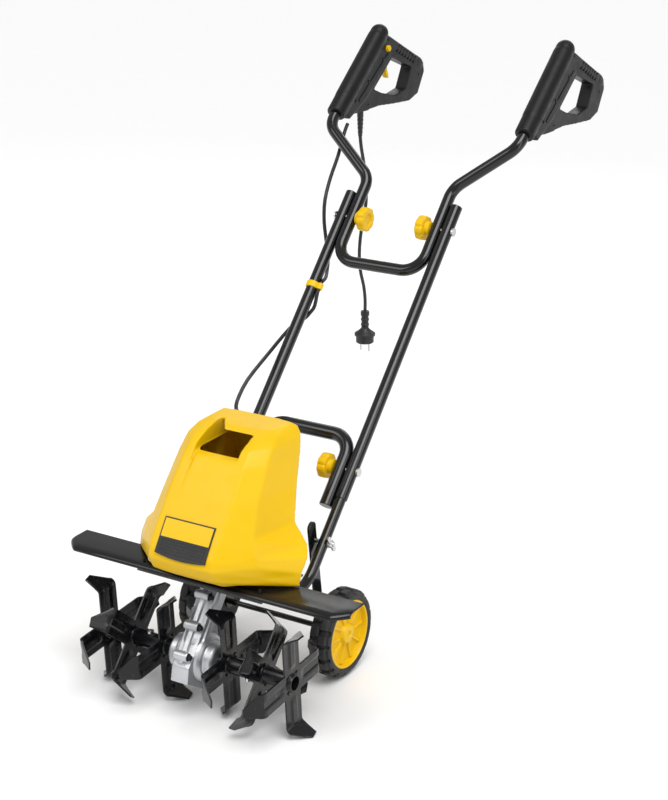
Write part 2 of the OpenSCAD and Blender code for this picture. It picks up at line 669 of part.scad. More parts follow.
hood_shell();
hood_rear_cover();
hood_badge();
hood_screws();
fender();
chassis_plate();
chassis_tube_left();
chassis_tube_right();
brace_tube();
mid_tube_left();
mid_tube_right();
handle_bolts();
cable_clip();
gear_housing_left();
gear_housing_right();
gear_housing_screws();
shaft_bearings();
motor_can();
stator();
motor_bearings();
run_capacitor();
lead_grommet();
motor_lead_lower();
rotor();
cooling_fan();
worm();
tine_shaft();
worm_wheel();
tine_tube_left();
tine_tube_right();
star_inner_left();
star_middle_left();
star_outer_left();
star_inner_right();
star_middle_right();
star_outer_right();
tine_bolts();
wheel_arms();
axle();
axle_clips();
tyre_left();
wheel_hub_left();
tyre_right();
wheel_hub_right();
wing_bolt_left();
wing_bolt_right();
upper_tube();
switch_grip();
plain_grip();
switch_block();
trigger();
lock_button();
knob_lower_left();
knob_lower_right();
knob_upper_left();
knob_upper_right();
motor_lead_upper();
lead_relief();
mains_lead();
mains_plug();
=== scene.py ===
"""An electric garden tiller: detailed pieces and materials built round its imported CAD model."""

import json
import math

import bmesh
import bpy
from mathutils import Matrix, Vector


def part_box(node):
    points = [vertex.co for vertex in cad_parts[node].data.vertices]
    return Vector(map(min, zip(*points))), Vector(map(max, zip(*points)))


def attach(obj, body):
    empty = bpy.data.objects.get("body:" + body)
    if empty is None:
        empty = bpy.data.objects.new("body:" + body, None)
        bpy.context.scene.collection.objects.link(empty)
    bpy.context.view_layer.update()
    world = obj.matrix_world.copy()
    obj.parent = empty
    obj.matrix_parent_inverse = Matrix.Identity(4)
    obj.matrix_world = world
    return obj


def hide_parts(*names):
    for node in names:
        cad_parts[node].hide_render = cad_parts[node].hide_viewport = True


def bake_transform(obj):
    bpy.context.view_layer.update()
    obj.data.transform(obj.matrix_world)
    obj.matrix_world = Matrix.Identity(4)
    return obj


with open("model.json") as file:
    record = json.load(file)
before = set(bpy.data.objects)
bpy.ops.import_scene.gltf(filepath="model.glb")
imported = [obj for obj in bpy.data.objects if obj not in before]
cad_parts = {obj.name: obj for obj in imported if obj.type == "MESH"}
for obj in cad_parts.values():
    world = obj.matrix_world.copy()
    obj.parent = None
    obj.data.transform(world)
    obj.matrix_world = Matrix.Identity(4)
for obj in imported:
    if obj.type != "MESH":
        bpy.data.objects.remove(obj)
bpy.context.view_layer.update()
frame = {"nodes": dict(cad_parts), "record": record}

# Pieces are laid out in millimetres: X to the operator's left and -Y forwards from the tine shaft, Z up
# from the ground
MM = 0.001
shaft_low, shaft_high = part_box("tine_shaft")
SHAFT_Y = (shaft_low[1] + shaft_high[1]) / 2
AXLE_Z = (shaft_low[2] + shaft_high[2]) / 2 / MM
ROW = Matrix.Translation((0, SHAFT_Y, 0)) @ Matrix.Scale(MM, 4)


def row(x, y, z):
    """A point in millimetres from the tine shaft, in the row frame in metres."""
    return ROW @ Vector((x, y, z))


# Camera
CAMERA_AT = row(1618.8, -2214.5, 1528.8)
AZIMUTH = math.radians(31.42)
ELEVATION = math.radians(19.63)
LENS = 81.85
camera = bpy.data.objects.new("camera", bpy.data.cameras.new("camera"))
bpy.context.scene.collection.objects.link(camera)
camera.location = CAMERA_AT
camera.rotation_euler = (math.pi / 2 - ELEVATION, 0, AZIMUTH)
camera.data.lens = LENS
camera.data.sensor_width = 36
camera.data.clip_start = 0.05
camera.data.clip_end = 200
bpy.context.scene.camera = camera


# Materials
def material(name, color, rough, metal=0.0, coat=0.0, grain=0.0, grain_size=1.0, tone=0.08, patch=0.06,
             wear=None, specular=0.5):
    """Noise drives tone, roughness and a fine bump; wear is an optional second colour in thin patches."""
    mat = bpy.data.materials.new(name)
    mat.use_nodes = True
    tree = mat.node_tree
    shader = tree.nodes["Principled BSDF"]
    shader.inputs["Metallic"].default_value = metal
    shader.inputs["Coat Weight"].default_value = coat
    shader.inputs["Coat Roughness"].default_value = 0.12
    shader.inputs["Specular IOR Level"].default_value = specular
    place = tree.nodes.new("ShaderNodeTexCoord")

    def noise(size_mm, detail=3.0):
        node = tree.nodes.new("ShaderNodeTexNoise")
        node.inputs["Scale"].default_value = 1 / (size_mm * MM)
        node.inputs["Detail"].default_value = detail
        tree.links.new(place.outputs["Object"], node.inputs["Vector"])
        return node.outputs["Fac"]

    def spread(source, low, high, start=0.3, end=0.7):
        node = tree.nodes.new("ShaderNodeMapRange")
        node.inputs["From Min"].default_value = start
        node.inputs["From Max"].default_value = end
        node.inputs["To Min"].default_value = low
        node.inputs["To Max"].default_value = high
        tree.links.new(source, node.inputs["Value"])
        return node.outputs["Result"]

    def mix(factor, a, b):
        node = tree.nodes.new("ShaderNodeMix")
        node.data_type = "RGBA"
        tree.links.new(factor, node.inputs["Factor"])
        for socket, value in ((node.inputs[6], a), (node.inputs[7], b)):
            if isinstance(value, bpy.types.NodeSocket):
                tree.links.new(value, socket)
            else:
                socket.default_value = (*value, 1)
        return node.outputs[2]

    shades = [tuple(c * k for c in color) for k in (1 - tone, 1 + tone)]
    finish = mix(spread(noise(60), 0, 1), *shades)
    if wear:
        finish = mix(spread(noise(9, 6), 0, 0.7, 0.62, 0.72), finish, wear)
    tree.links.new(finish, shader.inputs["Base Color"])
    tree.links.new(spread(noise(25, 5), rough - patch, rough + patch), shader.inputs["Roughness"])
    if grain:
        bump = tree.nodes.new("ShaderNodeBump")
        bump.inputs["Strength"].default_value = grain
        bump.inputs["Distance"].default_value = 0.0003
        tree.links.new(noise(grain_size, 2), bump.inputs["Height"])
        tree.links.new(bump.outputs["Normal"], shader.inputs["Normal"])
    return mat


MATERIALS = {
    "yellow_plastic": material("yellow_plastic", (0.75, 0.46, 0.001), 0.38, coat=0.03, grain=0.12,
                               tone=0.025, specular=0.25),
    "badge": material("badge", (0.012, 0.012, 0.012), 0.5, grain=0.3, grain_size=1.6),
    "fender_plastic": material("fender_plastic", (0.006, 0.006, 0.007), 0.2, coat=0.12, grain=0.05,
                               patch=0.03, specular=0.3),
    "tube_paint": material("tube_paint", (0.004, 0.004, 0.005), 0.16, coat=0.3, grain=0.06, grain_size=3,
                           patch=0.04, specular=0.35),
    "zinc": material("zinc", (0.62, 0.63, 0.65), 0.3, metal=1, grain=0.15, tone=0.12),
    "black_screws": material("black_screws", (0.02, 0.02, 0.022), 0.35, metal=0.6, grain=0.2),
    "cast_aluminium": material("cast_aluminium", (0.56, 0.57, 0.59), 0.42, metal=0.85, grain=0.8,
                               grain_size=1.1, tone=0.14, patch=0.1),
    "bearing_steel": material("bearing_steel", (0.6, 0.6, 0.62), 0.2, metal=1, grain=0.1),
    "motor_black": material("motor_black", (0.02, 0.02, 0.021), 0.4, grain=0.2),
    "copper": material("copper", (0.62, 0.27, 0.12), 0.35, metal=0.9, grain=0.5, grain_size=0.8),
    "capacitor": material("capacitor", (0.7, 0.7, 0.68), 0.4, grain=0.1),
    "bronze": material("bronze", (0.6, 0.38, 0.13), 0.3, metal=1, grain=0.2),
    "black_rubber": material("black_rubber", (0.010, 0.010, 0.011), 0.42, grain=0.25, grain_size=1.2),
    "black_plastic": material("black_plastic", (0.006, 0.006, 0.007), 0.42, grain=0.55, grain_size=0.9,
                              tone=0.1, specular=0.25),
    "tine_steel": material("tine_steel", (0.005, 0.005, 0.006), 0.24, metal=0.1, coat=0.2, specular=0.3,
                           grain=0.35, grain_size=2.5, patch=0.08, wear=(0.05, 0.05, 0.055)),
    "tyre": material("tyre", (0.012, 0.012, 0.012), 0.6, grain=0.5, grain_size=1.5, tone=0.15),
}
SLOT_OF = {part["node"]: part["material_slot"] for part in frame["record"]["subparts"]}
for node_name, node in frame["nodes"].items():
    node.data.materials.clear()
    node.data.materials.append(MATERIALS[SLOT_OF[node_name]])


# Mesh tools
def on_axis(origin, direction, spin=0.0):
    """Turns local Z to the direction, at the origin."""
    turn = Vector(direction).to_track_quat("Z", "Y").to_matrix().to_4x4()
    return Matrix.Translation(Vector(origin)) @ turn @ Matrix.Rotation(spin, 4, "Z")


def facing(side, origin=(0, 0, 0)):
    """Turns local Z to +X or -X, at the origin."""
    return Matrix.Translation(origin) @ Matrix.Rotation(side * math.pi / 2, 4, "Y")


def grid(bm, rings, closed=True, caps=True, loop=False):
    """Quads between rings of points; caps fill the first and the last ring, or loop joins them."""
    rows = [[bm.verts.new(p) for p in ring] for ring in rings]
    count = len(rows[0])
    for a, b in zip(rows, rows[1:] + rows[:1] if loop else rows[1:]):
        for k in range(count if closed else count - 1):
            m = (k + 1) % count
            bm.faces.new((a[k], a[m], b[m], b[k]))
    if caps and not loop:
        bm.faces.new(rows[0][::-1])
        bm.faces.new(rows[-1])


def prism(bm, outline, thick, matrix):
    """A flat outline of (x, y) points with its thickness along local Z, from 0."""
    grid(bm, [[matrix @ Vector((x, y, z)) for x, y in outline] for z in (0, thick)])


def lathe(bm, profile, matrix, steps=48, lobe=None, loop=False):
    """Turns (radius, height) points round local Z; lobe(angle, radius, height) may move a point."""
    rings = []
    for radius, height in profile:
        ring = []
        for k in range(steps):
            angle = 2 * math.pi * k / steps
            r, h = lobe(angle, radius, height) if lobe else (radius, height)
            ring.append(matrix @ Vector((r * math.cos(angle), r * math.sin(angle), h)))
        rings.append(ring)
    grid(bm, rings, loop=loop)


def hull(bm, points):
    verts = [bm.verts.new(p) for p in points]
    made = bmesh.ops.convex_hull(bm, input=verts)
    spare = [v for v in made["geom_interior"] + made["geom_unused"] if isinstance(v, bmesh.types.BMVert)]
    bmesh.ops.delete(bm, geom=list(set(spare)), context="VERTS")


def slab(bm, low, high, matrix=Matrix()):
    (x0, y0, z0), (x1, y1, z1) = low, high
    prism(bm, [(x0, y0), (x1, y0), (x1, y1), (x0, y1)], z1 - z0, matrix @ Matrix.Translation((0, 0, z0)))


def fillet(points, bend, steps=8):
    """The line through the points with each corner rounded to the radius bend."""
    points = [Vector(p) for p in points]
    line = [points[0]]
    for before, corner, after in zip(points, points[1:], points[2:]):
        d, e = (corner - before).normalized(), (after - corner).normalized()
        turn = d.angle(e)
        if turn < 0.01:
            continue
        n = (e - d * d.dot(e)).normalized()
        centre = corner - d * bend * math.tan(turn / 2) + n * bend
        line += [centre + bend * (math.sin(turn * k / steps) * d - math.cos(turn * k / steps) * n)
                 for k in range(steps + 1)]
    return line + [points[-1]]


def spline(points, steps):
    """A smooth line through the points."""
    pts = [Vector(p) for p in points]
    line = []
    for i in range(len(pts) - 1):
        a, b, c, d = pts[max(i - 1, 0)], pts[i], pts[i + 1], pts[min(i + 2, len(pts) - 1)]
        for k in range(steps):
            t = k / steps
            line.append(0.5 * (2 * b + (c - a) * t + (2 * a - 5 * b + 4 * c - d) * t * t
                               + (3 * b - a - 3 * c + d) * t * t * t))
    return line + [pts[-1]]


def tube(bm, line, radius, sides=24, lip=0.0):
    """A round bar along the line, its ends rounded off by lip."""
    line = [Vector(p) for p in line]
    radii = [radius] * len(line)
    if lip:
        first, last = (line[1] - line[0]).normalized(), (line[-2] - line[-1]).normalized()
        line = [line[0], line[0] + first * lip] + line[1:-1] + [line[-1] + last * lip, line[-1]]
        radii = [radius - lip] + [radius] * (len(line) - 2) + [radius - lip]
    rings = []
    side = None
    for i, point in enumerate(line):
        ahead = (line[min(i + 1, len(line) - 1)] - line[max(i - 1, 0)]).normalized()
        if side is None:
            side = ahead.orthogonal().normalized()
        side = (side - ahead * ahead.dot(side)).normalized()
        other = ahead.cross(side)
        rings.append([point + radii[i] * (math.cos(2 * math.pi * k / sides) * side
                                          + math.sin(2 * math.pi * k / sides) * other) for k in range(sides)])
    grid(bm, rings)


def bevel(bm, width, segments=2, angle=30):
    edges = [e for e in bm.edges if len(e.link_faces) == 2 and e.calc_face_angle(0) > math.radians(angle)]
    bmesh.ops.bevel(bm, geom=edges, offset=width, segments=segments, profile=0.5, affect="EDGES",
                    clamp_overlap=True)


def raw_object(name, bm):
    bmesh.ops.recalc_face_normals(bm, faces=bm.faces)
    mesh = bpy.data.meshes.new(name)
    bm.to_mesh(mesh)
    bm.free()
    obj = bpy.data.objects.new(name, mesh)
    bpy.context.scene.collection.objects.link(obj)
    return obj


def piece(name, bm, body, slot, nodes=(), sharp=40, ride=True):
    """A finished piece from a mesh in millimetres."""
    bm.transform(ROW)
    return finish_piece(raw_object(name, bm), body, slot, nodes, sharp, ride)


def finish_piece(obj, body, slot, nodes=(), sharp=40, ride=True):
    obj.data.materials.append(MATERIALS[slot])
    obj.data.shade_smooth()
    obj.data.set_sharp_from_angle(angle=math.radians(sharp))
    if ride:
        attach(obj, body)
    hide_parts(*nodes)
    return obj


def moulded(name, solids, cuts, voxel, rounds, body, slot, nodes, hollow=()):
    """One skin over overlapping solids, less the cuts, with its edges rounded, then less the hollow."""
    obj = raw_object(name, solids)
    helpers = []

    def remesh():
        modifier = obj.modifiers.new("skin", "REMESH")
        modifier.mode = "VOXEL"
        modifier.voxel_size = voxel

    def take(meshes, skin=False):
        for cutter in meshes:
            helpers.append(raw_object(name + "_cutter", cutter))
            if skin:
                skin_modifier = helpers[-1].modifiers.new("skin", "REMESH")
                skin_modifier.mode = "VOXEL"
                skin_modifier.voxel_size = 2 * voxel
            modifier = obj.modifiers.new("cut", "BOOLEAN")
            modifier.operation = "DIFFERENCE"
            modifier.solver = "EXACT"
            modifier.object = helpers[-1]

    remesh()
    if cuts:
        take(cuts)
        remesh()
    modifier = obj.modifiers.new("soft", "SMOOTH")
    modifier.iterations = rounds
    take(hollow, skin=True)
    bpy.context.view_layer.update()
    final = bpy.data.meshes.new_from_object(obj.evaluated_get(bpy.context.evaluated_depsgraph_get()))
    obj.modifiers.clear()
    obj.data = final
    for helper in helpers:
        bpy.data.objects.remove(helper)
    final.transform(ROW)
    return finish_piece(obj, body, slot, nodes, 55)


# Leads: the CAD routes, but with the gap between the two stretches of the motor lead 1 to 2 mm smaller at
# each end
LEAD_R = 3.5
MAINS_ROUTE = [(-195, 854, 812), (-195, 858, 790), (-195, 868, 757), (-195, 877, 721), (-195, 879, 690),
               (-195, 876, 662), (-195, 860, 618), (-195, 853, 576), (-195, 857, 537), (-195, 871, 500),
               (-195, 877, 470), (-195, 877, 445)]
MOTOR_ROUTE_UPPER = [(-184, 787, 848), (-180, 768, 834), (-170, 728, 797), (-160, 684, 764), (-151, 650, 730),
                     (-150, 645, 692), (-146, 645, 656), (-132, 630, 624), (-115, 598, 606), (-100, 568, 603),
                     (-97, 551, 601)]
MOTOR_ROUTE_LOWER = [(-97, 550, 600), (-97, 536, 585), (-98, 527, 560), (-103, 520, 549), (-110, 514, 539),
                     (-122, 504, 529), (-130, 490, 521), (-127, 416, 495), (-98, 302, 481), (-66, 222, 471),
                     (-52, 200, 464)]
PLUG_AT = (-195, 877, 378)


def lead(name, route, body, node, ride=True):
    line = spline(route, 3)
    bm = bmesh.new()
    tube(bm, line, LEAD_R, 16)
    return piece(name, bm, body, "black_rubber", [node], ride=ride), [tuple(ROW @ p) for p in line]


mains_lead, mains_path = lead("mains_lead_skin", MAINS_ROUTE, "upper_handle", "mains_lead")

# Plug: a round two-pin plug with a ribbed neck
bm = bmesh.new()
PLUG_PROFILE = [(6, 68), (8.4, 67), (9, 65), (9, 58), (7.4, 57), (7.4, 52), (8.6, 51), (8.6, 47.5),
                (7.4, 46.5), (7.4, 41), (8.6, 40), (8.6, 36.5), (7.5, 35.5), (7.8, 31), (10, 28.5),
                (15, 24), (19, 21.5), (21.5, 19.5), (21.5, 15), (20, 14), (18.5, 13.5), (18.5, 1), (17.5, 0)]
lathe(bm, PLUG_PROFILE, Matrix.Translation(PLUG_AT))
plug = piece("plug_body", bm, "upper_handle", "black_rubber", ["mains_plug"])
bm = bmesh.new()
PIN_PROFILE = [(2.4, 1), (2.4, -17), (1.9, -18.6), (0.8, -19)]
PIN_X = 9.5
for x in (-PIN_X, PIN_X):
    lathe(bm, PIN_PROFILE, Matrix.Translation(Vector(PLUG_AT) + Vector((x, 0, 0))), 20)
plug_pins = piece("plug_pins", bm, "upper_handle", "zinc")
bm = bmesh.new()
RELIEF_PROFILE = [(6.2, 860), (6.4, 850), (5.4, 848), (6.2, 846), (6.1, 842), (5.1, 840), (5.9, 838),
                  (5.7, 834), (4.8, 832), (5.5, 830), (5.2, 826), (4.4, 824), (5.0, 822), (4.7, 818),
                  (4.1, 816), (4.4, 813), (3.6, 812)]
RELIEF_X, RELIEF_Y, _ = MAINS_ROUTE[0]
lathe(bm, RELIEF_PROFILE, Matrix.Translation((RELIEF_X, RELIEF_Y, 0)), 24)
piece("lead_relief_ribbed", bm, "upper_handle", "black_rubber", ["lead_relief"])
lead("motor_lead_low", MOTOR_ROUTE_LOWER, "chassis", "motor_lead_lower")
motor_lead_high, _ = lead("motor_lead_high", MOTOR_ROUTE_UPPER, "upper_handle", "motor_lead_upper",
                          ride=False)
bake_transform(motor_lead_high)

# Handle line: the middle tubes rise from the foot at this slope
FOOT = Vector((0, 275, 308))
SLOPE = math.radians(46.7)
UP_LINE = Vector((0, math.cos(SLOPE), math.sin(SLOPE)))
TUBE_R = 11
MID_X = 112
MID_LEN = 596
LOW_BOLT = 55
FOLD_BOLT = MID_LEN - 52


def on_handle(x, s):
    return Vector((x, 0, 0)) + FOOT + UP_LINE * s


CHASSIS_R = 9.4
CHASSIS_BEND = 70
BRACE_R = 12.5
BRACE_BEND = 38
BRACE_LOW = -18
BRACE_TOP = 116
UPPER_BEND = 40
BRACE_X = MID_X - TUBE_R - BRACE_R
UPPER_X = MID_X - 2 * TUBE_R - 0.3
for side, word in ((1, "left"), (-1, "right")):
    bm = bmesh.new()
    tube(bm, [on_handle(side * MID_X, s) for s in (0, 6, MID_LEN - 6, MID_LEN)], TUBE_R, 32, 0.8)
    piece("mid_tube_%s_smooth" % word, bm, "chassis", "tube_paint", ["mid_tube_" + word])
    bm = bmesh.new()
    tube(bm, fillet([(side * MID_X, 62, 213), (side * MID_X, 152, 178), on_handle(side * MID_X, 100)],
                    CHASSIS_BEND),
         CHASSIS_R, 32, 0.8)
    piece("chassis_tube_%s_smooth" % word, bm, "chassis", "tube_paint", ["chassis_tube_" + word])
bm = bmesh.new()
brace_corners = ((-1, BRACE_LOW), (-1, BRACE_TOP), (1, BRACE_TOP), (1, BRACE_LOW))
tube(bm, fillet([on_handle(side * BRACE_X, s) for side, s in brace_corners], BRACE_BEND), BRACE_R, 32, 1)
piece("brace_tube_smooth", bm, "chassis", "tube_paint", ["brace_tube"])

# Grip frame: Z runs up the sleeve from its foot, Y points down and back into the loop
GRIP_X = 201
GRIP_FOOT = Vector((0, 770, 868))
GRIP_SLOPE = math.radians(39)
GRIP_LEN = 214


def grip_frame(side):
    return (Matrix.Translation(GRIP_FOOT + Vector((side * GRIP_X, 0, 0)))
            @ Matrix.Rotation(GRIP_SLOPE - math.pi / 2, 4, "X"))


def on_grip(side, s):
    return grip_frame(side) @ Vector((0, 0, s))


def upper_half(side):
    return [on_handle(side * UPPER_X, FOLD_BOLT - 92), on_handle(side * UPPER_X, FOLD_BOLT + 88),
            on_grip(side, -28), on_grip(side, GRIP_LEN - 12)]


bm = bmesh.new()
tube(bm, fillet(upper_half(-1)[::-1] + upper_half(1), UPPER_BEND, 12), TUBE_R, 32, 0.8)
piece("upper_tube_smooth", bm, "upper_handle", "tube_paint", ["upper_tube"])

# Grips: outlines in the grip frame as (behind the sleeve, up the sleeve)
SLEEVE_BACK = [(0, 14), (28, 14), (46, 92), (48, 206), (0, 212)]
LOOP = [(33, 84), (60, 62), (96, 110), (140, 156), (182, 202), (196, 236), (180, 282), (162, 291), (20, 226)]
LOOP_FOOT = [(28, 14), (36, 34), (74, 78), (60, 96), (34, 96)]
SWITCH_SLOT = [(30, 150), (74, 150), (74, 206), (30, 206)]
PLAIN_PAD = [(44, 120), (53, 120), (53, 176), (44, 186)]
SLEEVE_HALF = 15.5
LOOP_HALF = 12.5
SLOT_HALF = 6.2
PAD_HALF = 7
HAND_HOLE = [(60, 207), (132, 250), (150, 206), (128, 168), (84, 134), (56, 118)]
BAR = [(16, 212), (158, 281)]
SIDE_PLANE = Matrix(((0, 0, 1, 0), (1, 0, 0, 0), (0, 1, 0, 0), (0, 0, 0, 1)))


def side_prism(bm, matrix, outline, x0, x1):
    prism(bm, outline, x1 - x0, matrix @ Matrix.Translation((x0, 0, 0)) @ SIDE_PLANE)


def dome(radius, length, start=0.0):
    steps = 8
    return [(radius * 0.9, start), (radius, start + 1.5)] + [
        (max(radius * math.cos(a), 0.3), length + radius * math.sin(a))
        for a in (math.pi / 2 * k / steps for k in range(steps + 1))]


def grip(side, name, node, switch):
    frame_at = grip_frame(side)
    bm = bmesh.new()
    lathe(bm, dome(18.4, GRIP_LEN), frame_at, 40)
    lathe(bm, [(18.9, 40), (19.1, 41), (19.1, 203), (18.6, 204.5)], frame_at, 40)
    side_prism(bm, frame_at, SLEEVE_BACK, -SLEEVE_HALF, SLEEVE_HALF)
    side_prism(bm, frame_at, LOOP, -LOOP_HALF, LOOP_HALF)
    side_prism(bm, frame_at, LOOP_FOOT, -LOOP_HALF, LOOP_HALF)
    start, end = (frame_at @ Vector((0, *p)) for p in BAR)
    along = (end - start).length
    lathe(bm, [(8, -2), (14, 0), (15, 3), (15, along * 0.86), (14.4, along * 0.88), (15.4, along * 0.9),
               (15.4, along), (13, along + 7), (7, along + 12), (1, along + 13.5)],
          on_axis(start, end - start), 32)
    hole = bmesh.new()
    side_prism(hole, frame_at, HAND_HOLE, -40, 40)
    cuts = [hole]
    if switch:
        slot_cut = bmesh.new()
        side_prism(slot_cut, frame_at, SWITCH_SLOT, -SLOT_HALF, SLOT_HALF)
        cuts.append(slot_cut)
    else:
        side_prism(bm, frame_at, PLAIN_PAD, -PAD_HALF, PAD_HALF)
    return moulded(name, bm, cuts, 1.5, 3, "upper_handle", "black_plastic", [node])


grip(1, "grip_left_moulded", "plain_grip", False)
grip(-1, "grip_right_moulded", "switch_grip", True)

# Seam strip, screws and bar ribs on both grips
SEAM = [(24, 60), (29, 60), (41, 196), (36, 196)]
SEAM_FACE = 16.1
SEAM_LIFT = 0.7
RIB = [(0, -9), (3.4, -8), (0.8, 9), (-2.6, 8)]
RIB_FACE = 14.2
RIB_LIFT = 1.0
GRIP_SCREW = [(3.2, -2), (3.2, 0.5), (2.8, 0.8), (1.4, 0.8), (1.2, -0.6), (0.2, -0.6)]
GRIP_SCREWS_AT = ((18, 52), (24, 110), (32, 176), (64, 84), (168, 262))
for side, word in ((1, "left"), (-1, "right")):
    at = grip_frame(side)
    bm = bmesh.new()
    for face in (-1, 1):
        side_prism(bm, at, SEAM, face * SEAM_FACE - SEAM_LIFT, face * SEAM_FACE + SEAM_LIFT)
        for k in range(7):
            y, z = BAR[0][0] + 46 + k * 11, BAR[0][1] + 22 + k * 5.4
            side_prism(bm, at, [(y + dy, z + dz) for dy, dz in RIB],
                       face * RIB_FACE - RIB_LIFT, face * RIB_FACE + RIB_LIFT)
    bevel(bm, 0.4, 1)
    piece("grip_%s_trim" % word, bm, "upper_handle", "black_plastic")
    bm = bmesh.new()
    for y, z in GRIP_SCREWS_AT:
        for face in (-1, 1):
            depth = 16 if y < 60 else 12.4
            lathe(bm, GRIP_SCREW, at @ facing(face, (face * depth, y, z)), 16)
    piece("grip_%s_screws" % word, bm, "upper_handle", "black_screws")

# Trigger and lock-off button
LEVER_AT = (0, 46, 193)
LEVER_LEN = 46
LEVER_TILT = math.radians(-18)
LEVER_HALF = 5
BUTTON_AT = (0, 26, 200)
BUTTON_PROFILE = [(5.6, 9), (6, 9.6), (6, 20.4), (5.4, 21.6), (4.2, 22), (3.4, 21.4), (0.3, 21.2)]
bm = bmesh.new()
at = grip_frame(-1) @ Matrix.Translation(LEVER_AT)
lathe(bm, [(4.4, -5), (5, -4.4), (5, 4.4), (4.4, 5)], at @ Matrix.Rotation(math.pi / 2, 4, "Y"), 24)
lever = at @ Matrix.Rotation(LEVER_TILT, 4, "X")
side_prism(bm, lever, [(0, -4), (30, -5), (LEVER_LEN - 3, -4), (LEVER_LEN, -1), (LEVER_LEN - 2, 2.6), (30, 2),
                       (12, 3), (0, 4)], -LEVER_HALF, LEVER_HALF)
bevel(bm, 1.2, 3)
piece("trigger_lever_moulded", bm, "trigger_lever", "yellow_plastic", ["trigger"])
bm = bmesh.new()
lathe(bm, BUTTON_PROFILE, grip_frame(-1) @ facing(1, BUTTON_AT), 32)
piece("lock_button_moulded", bm, "lock_off_button", "yellow_plastic", ["lock_button"])

# Knobs with eight lobes
KNOB_R = 23


def lobed(angle, radius, height):
    depth = 2.6 * max(0, (radius - 15)) / 8
    return radius - depth * (1 - abs(math.cos(4 * angle)) ** 0.6), height


KNOB_PROFILE = [(4.2, 0.2), (12, 0.2), (13, 1), (13, 7), (14, 8.2), (21, 8.6), (22.6, 10), (KNOB_R, 13),
                (KNOB_R, 21), (22.4, 23.6), (20, 25), (13, 25), (11.4, 24), (10.6, 21.6), (6, 21), (0.4, 21)]
for word, s, face in (("lower", LOW_BOLT, BRACE_X - BRACE_R), ("upper", FOLD_BOLT, UPPER_X - TUBE_R)):
    for side, hand in ((1, "left"), (-1, "right")):
        name = "%s_%s" % (word, hand)
        bm = bmesh.new()
        lathe(bm, KNOB_PROFILE, on_axis(on_handle(side * face, s), (-side, 0, 0)), 96, lobed)
        piece("knob_%s_lobed" % name, bm, name + "_knob", "yellow_plastic", ["knob_" + name])

# Clip that holds the motor lead on the right middle tube
CLIP_S = 386
CLIP_LEAD_OFFSET = 15
bm = bmesh.new()
clip_at = on_axis(on_handle(-MID_X, CLIP_S), UP_LINE)
clip_side = clip_at.inverted() @ (on_handle(-MID_X, CLIP_S) + Vector((CLIP_LEAD_OFFSET, 0, 0)))
lathe(bm, [(12.2, 0), (13.3, 0.8), (13.3, 11.2), (12.2, 12)], clip_at, 32)
lathe(bm, [(5.2, 0), (6, 0.8), (6, 11.2), (5.2, 12)], clip_at @ Matrix.Translation(clip_side), 24)
piece("cable_clip_round", bm, "chassis", "yellow_plastic", ["cable_clip"])

# Fender: a sheet with a rolled front lip and chamfered corners
FENDER_HALF = 283
FENDER_REAR = 64
FENDER_EDGE = [(FENDER_REAR, 237.5), (FENDER_REAR, 240), (40, 240), (12, 240), (5, 239.2), (1, 237.6),
               (-1.8, 235.4), (-3, 233.4), (-3, 231), (-2.4, 230.4), (-1, 230.6), (0.4, 233.8), (3.5, 236.2),
               (10, 237.5), (40, 237.5)]
FENDER_CORNER = 26
bm = bmesh.new()
rings = []
stations = [-FENDER_HALF, -FENDER_HALF + 1.2] + [-FENDER_HALF + FENDER_CORNER * k / 6 for k in range(1, 7)]
stations += [-200, -100, 0]
stations += [-x for x in stations[:-1][::-1]]
for x in stations:
    into = max(0, FENDER_CORNER - (FENDER_HALF - abs(x))) / FENDER_CORNER
    shift = FENDER_CORNER * into ** 1.3
    ring = []
    for y, z in FENDER_EDGE:
        keep = min(1, (FENDER_REAR - y) / 50)
        drop = 1.2 if abs(x) == FENDER_HALF and z > 238 else 0
        ring.append(Vector((x, y + shift * keep * 0.9, z - drop)))
    rings.append(ring)
grid(bm, rings)
piece("fender_sheet", bm, "chassis", "fender_plastic", ["fender"])

# Hood rows: height, then (half width, depth) of the nose edge, the front crease and the rear edge
HOOD_ROWS = [(241, (58, -6), (112, 32), (165, 62)), (262, (61, -37), (118, 14), (165, 68)),
             (283, (62, -46), (118, 10), (166, 86)), (298, (63, -42), (112, 10), (154, 104)),
             (326, (64, -24), (102, 18), (118, 121)), (380, (63, 14), (93, 48), (103, 152)),
             (430, (60, 52), (88, 84), (92, 180)), (452, (58, 74), (85, 104), (85, 192)),
             (464, (54, 100), (78, 124), (78, 194)), (471, (46, 128), (66, 144), (68, 186))]
WALL = 5
COVER_REACH = 92
COVER_CORNER = 14
INSIDE_REACH = 70
INSIDE_TOP = 440
COVER_INSIDE_TOP = 428
HOOD_OPEN = 8


def hood_section(z, nose, crease, rear, inset=0.0):
    half = [(nose[0] * 0.5, nose[1] - 1.5), nose, crease, rear, (rear[0] * 0.55, rear[1] + 4)]
    inner = [(max(x - inset, 1), y + inset if k < 3 else y - inset) for k, (x, y) in enumerate(half)]
    return [Vector((x, y, z)) for x, y in inner] + [Vector((-x, y, z)) for x, y in inner[::-1]]


def cover_corners(width, depth, reach):
    return ((-width, depth - reach), (width, depth - reach), (width - COVER_CORNER, depth),
            (COVER_CORNER - width, depth))


solids = bmesh.new()
for a, b in zip(HOOD_ROWS, HOOD_ROWS[1:]):
    hull(solids, hood_section(*a) + hood_section(*b))
# Rear cover over the motor
REAR_ROWS = [(243, 70, 140), (300, 72, 186), (370, 72, 210), (430, 70, 204), (452, 58, 196)]
for (z0, w0, y0), (z1, w1, y1) in zip(REAR_ROWS, REAR_ROWS[1:]):
    hull(solids, [Vector((x, y, z)) for z, w, d in ((z0, w0, y0), (z1, w1, y1))
                  for x, y in cover_corners(w, d, COVER_REACH)])
